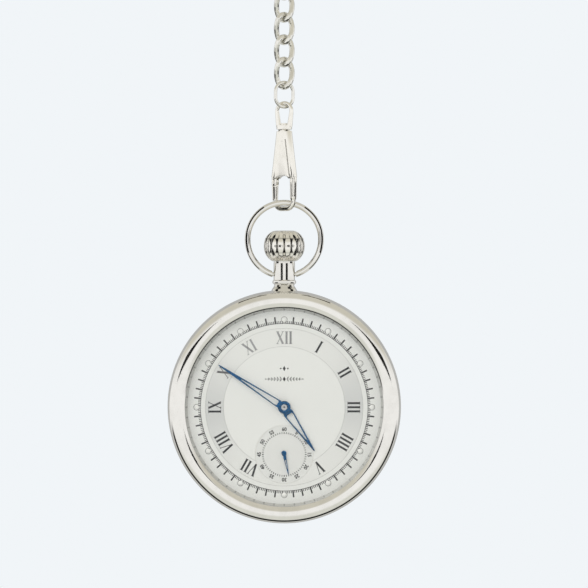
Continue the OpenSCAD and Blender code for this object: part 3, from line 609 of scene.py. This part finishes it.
def hourNumerals():
    whole = bmesh.new()
    for hour, text in enumerate(hours):
        if not text:
            continue
        bm = bmesh.new()
        width = sum(numeral["advance"][c] for c in text)
        x = -width / 2
        for c in text:
            letter(bm, c, x + numeral["advance"][c] / 2, numeral["height"])
            x += numeral["advance"][c]
        place = Matrix.Rotation(math.radians(-30 * hour), 4, "Z") @ Matrix.Translation((0, numeral["inner"], 0))
        bmesh.ops.transform(bm, matrix=place, verts=bm.verts)
        scratch = bpy.data.meshes.new("scratchNumeral")
        bm.to_mesh(scratch)
        bm.free()
        whole.from_mesh(scratch)
        bpy.data.meshes.remove(scratch)
    return settle("hour_numerals", whole, numeralInk, "case", onFace(dialCentre))


seconds = {"from": 4.2, "to": 4.56, "fine": 0.13, "bold": 0.17, "height": 0.9, "numeralRadius": 4.8}


def secondsMarks():
    bm = bmesh.new()
    for index in range(60):
        angle = math.radians(6 * index)
        direction = Vector((math.sin(angle), math.cos(angle), 0))
        bar(bm, direction * seconds["from"], direction * seconds["to"],
            seconds["bold"] if index % 5 == 0 else seconds["fine"], printed["thick"])
    for index in range(1, 13):
        curve = bpy.data.curves.new("secondsFigure", "FONT")
        curve.body = str(index * 5)
        curve.align_x = "CENTER"
        curve.size = 1.0
        curve.resolution_u = 3
        curve.extrude = 0.02
        curve.offset = 0.03
        figure = bpy.data.objects.new("secondsFigure", curve)
        bpy.context.scene.collection.objects.link(figure)
        bpy.context.view_layer.update()
        flat = bpy.data.meshes.new_from_object(figure.evaluated_get(bpy.context.evaluated_depsgraph_get()))
        place = (Matrix.Rotation(math.radians(-30 * index), 4, "Z")
                 @ Matrix.Translation((0, seconds["numeralRadius"], 0.012))
                 @ Matrix.Diagonal((seconds["height"] * 1.1, seconds["height"] * 1.15, 0.6, 1)))
        flat.transform(place)
        bm.from_mesh(flat)
        bpy.data.objects.remove(figure)
        bpy.data.curves.remove(curve)
        bpy.data.meshes.remove(flat)
    return settle("seconds_marks", bm, trackInk, "case", onFace(subCentre))


ornament = {"height": 5.75, "reach": 3.7, "line": 0.08, "above": 2.15}


def lozenge(bm, x, y, wide, tall, turn=0.0):
    # a flat four-cornered leaf
    place = (Matrix.Translation((x, y, printed["thick"] / 2)) @ Matrix.Rotation(math.radians(turn), 4, "Z")
             @ Matrix.Diagonal((wide, tall, printed["thick"], 1)) @ Matrix.Rotation(math.radians(45), 4, "Z"))
    bmesh.ops.create_cube(bm, size=math.sqrt(0.5), matrix=place)


def dialOrnament():
    # a plain leafy spray either side of a lozenge, and three small lozenges above it
    bm = bmesh.new()
    y, reach = ornament["height"], ornament["reach"]
    lozenge(bm, 0, y, 0.62, 1.0)
    for side in (-1, 1):
        bar(bm, (side * 0.42, y, 0), (side * reach, y, 0), ornament["line"], printed["thick"])
        for index in range(5):
            along, size = 0.75 + 0.6 * index, 0.66 - 0.07 * index
            for up in (-1, 1):
                lozenge(bm, side * along, y + up * size * 0.42, 0.2, size, side * up * -38)
        lozenge(bm, side * (reach + 0.1), y, 0.42, 0.2)
        lozenge(bm, side * 0.72, y + ornament["above"], 0.42, 0.36)
    lozenge(bm, 0, y + ornament["above"], 0.6, 1.05)
    return settle("dial_ornament", bm, trackInk, "case", onFace(dialCentre))


minuteTrack()
pearlRims()
dialRules()
hourNumerals()
secondsMarks()
dialOrnament()
print("dial: track, pearl rims, rules, numerals, seconds and ornament")

bodyOf = {node: body for body, members in frame["record"]["behaviour"]["bodies"].items() for node in members}
slotOf = {part["node"]: part["material_slot"] for part in frame["record"]["subparts"]}

easing = {
    "hour_hand": {"width": 0.07, "segments": 2}, "minute_hand": {"width": 0.06, "segments": 2},
    "seconds_hand": {"width": 0.04, "segments": 2},
    "barrel_bridge": {"width": 0.14, "segments": 2}, "train_bridge": {"width": 0.14, "segments": 2},
    "balance_cock": {"width": 0.14, "segments": 2}, "pallet_bridge": {"width": 0.08, "segments": 2},
    "ratchet_wheel": {"width": 0.05, "segments": 1}, "crown_wheel": {"width": 0.05, "segments": 1},
    "click": {"width": 0.06, "segments": 2}, "regulator": {"width": 0.05, "segments": 2},
    "clasp_body": {"width": 0.12, "segments": 3}, "clasp_gate": {"width": 0.08, "segments": 2},
    "clasp_rivet": {"width": 0.1, "segments": 3}, "case_middle": {"width": 0.06, "segments": 2},
    "case_back": {"width": 0.06, "segments": 2}, "bezel": {"width": 0.03, "segments": 1, "crease": 27},
}


def eased(node, width, segments, crease=32):
    # the same piece with its sharp edges broken
    bm = bmesh.new()
    bm.from_mesh(nodes[node].data)
    bmesh.ops.remove_doubles(bm, verts=bm.verts, dist=0.002 * mm)
    bmesh.ops.dissolve_limit(bm, angle_limit=math.radians(0.08), verts=bm.verts, edges=bm.edges)
    sharp = [edge for edge in bm.edges if edge.is_manifold and edge.calc_face_angle(0) > math.radians(50)]
    bmesh.ops.bevel(bm, geom=sharp, offset=width * mm, offset_type="OFFSET", segments=segments, profile=0.5,
                    affect="EDGES", clamp_overlap=True, material=-1)
    finish = ownFinish.get(node, finishOfSlot[slotOf[node]])
    piece = settle(node + "_eased", bm, finish, bodyOf[node], Matrix.Identity(4), smooth=crease)
    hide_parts(node)
    return piece


for node, look in easing.items():
    eased(node, **look)
print("eased edges:", len(easing))

crownShape = {
    "lobes": 16, "depth": 0.32, "around": 256,
    "profile": [(0.58, 29.95), (2.3, 29.92), (2.75, 30.1), (3.35, 30.6), (3.85, 31.3), (4.15, 32.1), (4.25, 33.0),
                (4.18, 33.8), (3.95, 34.6), (3.5, 35.3), (2.95, 35.8), (2.4, 36.1), (1.9, 36.22), (0.02, 36.25)],
}


def crownBody():
    # rounded ribs that run over the whole crown and die out at its top and foot
    caseLow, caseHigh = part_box("case_middle")
    low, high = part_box("crown")
    centre = Vector((0, (low.y + high.y) / 2, (caseLow.z + caseHigh.z) / 2))
    bm = bmesh.new()
    rings = []
    for radius, height in crownShape["profile"]:
        strength = min(1, max(0, (radius - 2.1) / 0.9))
        ring = []
        for index in range(crownShape["around"]):
            angle = math.tau * index / crownShape["around"]
            groove = abs(math.cos(angle * crownShape["lobes"] / 2)) ** 10
            reach = radius - crownShape["depth"] * strength * groove
            ring.append(bm.verts.new((reach * math.sin(angle), -reach * math.cos(angle), height)))
        rings.append([bm.edges.new((ring[i - 1], ring[i])) for i in range(len(ring))])
    for one, other in zip(rings, rings[1:]):
        bmesh.ops.bridge_loops(bm, edges=one + other)
    place = Matrix.Translation(centre) @ Matrix.Scale(mm, 4)
    piece = settle("crown_ribbed", bm, crownPlate, "crown", place, smooth=50)
    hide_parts("crown")
    return piece


crownBody()
print("crown lobes:", crownShape["lobes"])

caps = {"radius": 0.2, "foot": 0.24, "height": 0.08}


def secondsCap():
    # the blued boss over the seconds arbor
    bm = bmesh.new()
    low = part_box("seconds_hand")[0]
    place = onFace(Vector((subCentre.x, low.y, subCentre.z)))
    bmesh.ops.create_cone(bm, cap_ends=True, segments=32, radius1=caps["foot"], radius2=caps["radius"],
                          depth=caps["height"], matrix=Matrix.Translation((0, 0, caps["height"] / 2)))
    return settle("seconds_cap", bm, blued, "fourth", place, smooth=40)


def centrePitShade():
    # a flat black disc of painted shade standing for the sunk middle of the arbor's end
    bm = bmesh.new()
    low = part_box("centre_wheel")[0]
    place = onFace(Vector((dialCentre.x, low.y, dialCentre.z)))
    bmesh.ops.create_circle(bm, cap_ends=True, segments=32, radius=caps["radius"],
                            matrix=Matrix.Translation((0, 0, 0.01)))
    return settle("centre_pit_shade", bm, trackInk, "centre", place)


secondsCap()
centrePitShade()
print("hand caps: 2")

beads = {"count": 26, "radius": 0.13, "low": (2.12, 47.7), "high": (1.13, 54.9),
         "aside": -0.3, "proud": 0.83, "turn": -36}


def claspBeads():
    # a raised bead line down the front of the clasp
    bm = bmesh.new()
    caseLow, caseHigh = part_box("case_middle")
    caseCentre = (caseLow.z + caseHigh.z) / 2
    place = (Matrix.Translation((0, 0, caseCentre)) @ Matrix.Rotation(math.radians(beads["turn"]), 4, "Z")
             @ Matrix.Scale(mm, 4))
    for index in range(beads["count"]):
        share = index / (beads["count"] - 1)
        x = beads["low"][0] + (beads["high"][0] - beads["low"][0]) * share + beads["aside"]
        height = beads["low"][1] + (beads["high"][1] - beads["low"][1]) * share
        bmesh.ops.create_uvsphere(bm, u_segments=12, v_segments=8, radius=beads["radius"],
                                  matrix=Matrix.Translation((x, -beads["proud"], height)))
    return settle("clasp_beads", bm, beadMetal, "clasp", place, smooth=60)


claspBeads()
print("clasp beads:", beads["count"])


stageLook = {
    "paper": (0.879, 0.913, 0.939), "floorDepth": 0.30, "floorRadius": 1.8, "floorTone": (0.80, 0.83, 0.86),
    "cardTone": (0.01, 0.01, 0.01),
}


def paper(name, tone):
    material, tree, shader, place = startMaterial(name)
    shader.inputs["Roughness"].default_value = 0.9
    shader.inputs["Base Color"].default_value = (*tone, 1)
    return material


def stagePiece(name, bm, material):
    mesh = bpy.data.meshes.new(name)
    bm.to_mesh(mesh)
    bm.free()
    mesh.materials.append(material)
    piece = bpy.data.objects.new(name, mesh)
    bpy.context.scene.collection.objects.link(piece)
    return piece


def stageCard(name, bm, material):
    # only the polished metal sees it
    card = stagePiece(name, bm, material)
    card.visible_camera = card.visible_diffuse = card.visible_shadow = card.visible_transmission = False


def makeFloor():
    bm = bmesh.new()
    bmesh.ops.create_circle(bm, cap_ends=True, segments=96, radius=stageLook["floorRadius"],
                            matrix=Matrix.Translation((0, 0, -stageLook["floorDepth"])))
    floor = stagePiece("floor", bm, paper("floorPaper", stageLook["floorTone"]))
    floor.visible_glossy = False


tent = {
    "wall": (0.98, 0.975, 0.965), "roof": (0.66, 0.635, 0.55), "low": (0.76, 0.765, 0.71),
    "behind": (0.50, 0.50, 0.49), "shelf": (0.02, 0.02, 0.02),
    "shelfDeep": (0.3, 0.45), "shelfTop": (-0.3, -0.12),
}


def makeSky():
    # a white tent, warmer and darker overhead, with a dark shelf below the watch
    world = bpy.data.worlds.new("tent")
    bpy.context.scene.world = world
    world.use_nodes = True
    tree = world.node_tree
    background = tree.nodes["Background"]
    place = tree.nodes.new("ShaderNodeTexCoord").outputs["Generated"]
    split = tree.nodes.new("ShaderNodeSeparateXYZ")
    tree.links.new(place, split.inputs[0])
    y, z = split.outputs["Y"], split.outputs["Z"]
    shelfSide = remap(tree, calc(tree, "ABSOLUTE", y), *tent["shelfDeep"], 1, 0)
    shelf = calc(tree, "MULTIPLY", shelfSide, remap(tree, z, *tent["shelfTop"], 1, 0))
    shade = mixColour(tree, remap(tree, z, 0.2, 0.55), tent["wall"], tent["roof"])
    shade = mixColour(tree, remap(tree, z, -0.5, -0.2, 1, 0), shade, tent["low"])
    shade = mixColour(tree, remap(tree, y, 0.5, 0.8), shade, tent["behind"])
    shade = mixColour(tree, shelf, shade, tent["shelf"])
    path = tree.nodes.new("ShaderNodeLightPath").outputs["Is Camera Ray"]
    tree.links.new(mixColour(tree, path, shade, stageLook["paper"]), background.inputs["Color"])
    background.inputs["Strength"].default_value = 1.0


cards = {"away": 0.15, "turn": 27, "wide": 0.062, "thick": 0.0005, "low": -0.076, "high": -0.046}


def makeCards():
    # two dark cards either side of the lens
    black = paper("blackCard", stageLook["cardTone"])
    for side in (-1, 1):
        bm = bmesh.new()
        turn = math.radians(side * cards["turn"])
        middle = (cards["low"] + cards["high"]) / 2
        place = (Matrix.Rotation(turn, 4, "Z") @ Matrix.Translation((0, -cards["away"], middle))
                 @ Matrix.Diagonal((cards["wide"], cards["thick"], cards["high"] - cards["low"], 1)))
        bmesh.ops.create_cube(bm, size=1, matrix=place)
        stageCard("card", bm, black)


hoop = {"inner": 0.0106, "outer": 0.014, "front": -0.006, "back": 0.0, "starts": (-20, 122), "sweep": 78, "steps": 24}


def makeHoop():
    # two dark curved cards round the bow
    low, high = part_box("bow")
    black = paper("blackHoop", stageLook["cardTone"])
    middle = Vector((0, 0, high.z - (high.x - low.x) / 2))
    for start in hoop["starts"]:
        bm = bmesh.new()
        heading = Vector((math.cos(math.radians(start)), 0, math.sin(math.radians(start))))
        corners = [bm.verts.new(middle + heading * radius + Vector((0, depth, 0)))
                   for radius, depth in ((hoop["inner"], hoop["front"]), (hoop["outer"], hoop["front"]),
                                         (hoop["outer"], hoop["back"]))]
        edges = [bm.edges.new(corners[:2]), bm.edges.new(corners[1:])]
        bmesh.ops.spin(bm, geom=corners + edges, cent=middle, axis=(0, -1, 0), dvec=(0, 0, 0),
                       angle=math.radians(hoop["sweep"]), steps=hoop["steps"], use_merge=False)
        stageCard("hoop", bm, black)


def makeLight(name, place, aim, size, power):
    lamp = bpy.data.lights.new(name, "AREA")
    lamp.shape = "DISK"
    lamp.size = size
    lamp.energy = power
    light = bpy.data.objects.new(name, lamp)
    light.location = place
    light.rotation_euler = (Vector(aim) - Vector(place)).to_track_quat("-Z", "Y").to_euler()
    light.visible_glossy = False
    bpy.context.scene.collection.objects.link(light)


view = {"lens": 200.0, "sensor": 36.0, "width": 0.1209, "aside": 0.002, "above": 0.0232}


def makeCamera():
    # stands level with the clasp and looks straight at the dial
    lens = bpy.data.cameras.new("camera")
    lens.lens, lens.sensor_width = view["lens"], view["sensor"]
    lens.clip_start, lens.clip_end = 0.01, 10
    camera = bpy.data.objects.new("camera", lens)
    caseLow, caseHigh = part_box("case_middle")
    back = view["width"] * view["lens"] / view["sensor"]
    camera.location = ((caseLow.x + caseHigh.x) / 2 + view["aside"], (caseLow.y + caseHigh.y) / 2 - back,
                       (caseLow.z + caseHigh.z) / 2 + view["above"])
    camera.rotation_euler = (math.radians(90), 0, 0)
    bpy.context.scene.collection.objects.link(camera)
    bpy.context.scene.camera = camera


makeFloor()
makeSky()
makeCards()
makeHoop()
makeLight("keyLight", (-0.35, -0.5, 0.35), (0, 0, -0.08), 0.5, 1.2)
makeCamera()
bpy.context.scene.view_settings.view_transform = "Standard"
print("stage ready")
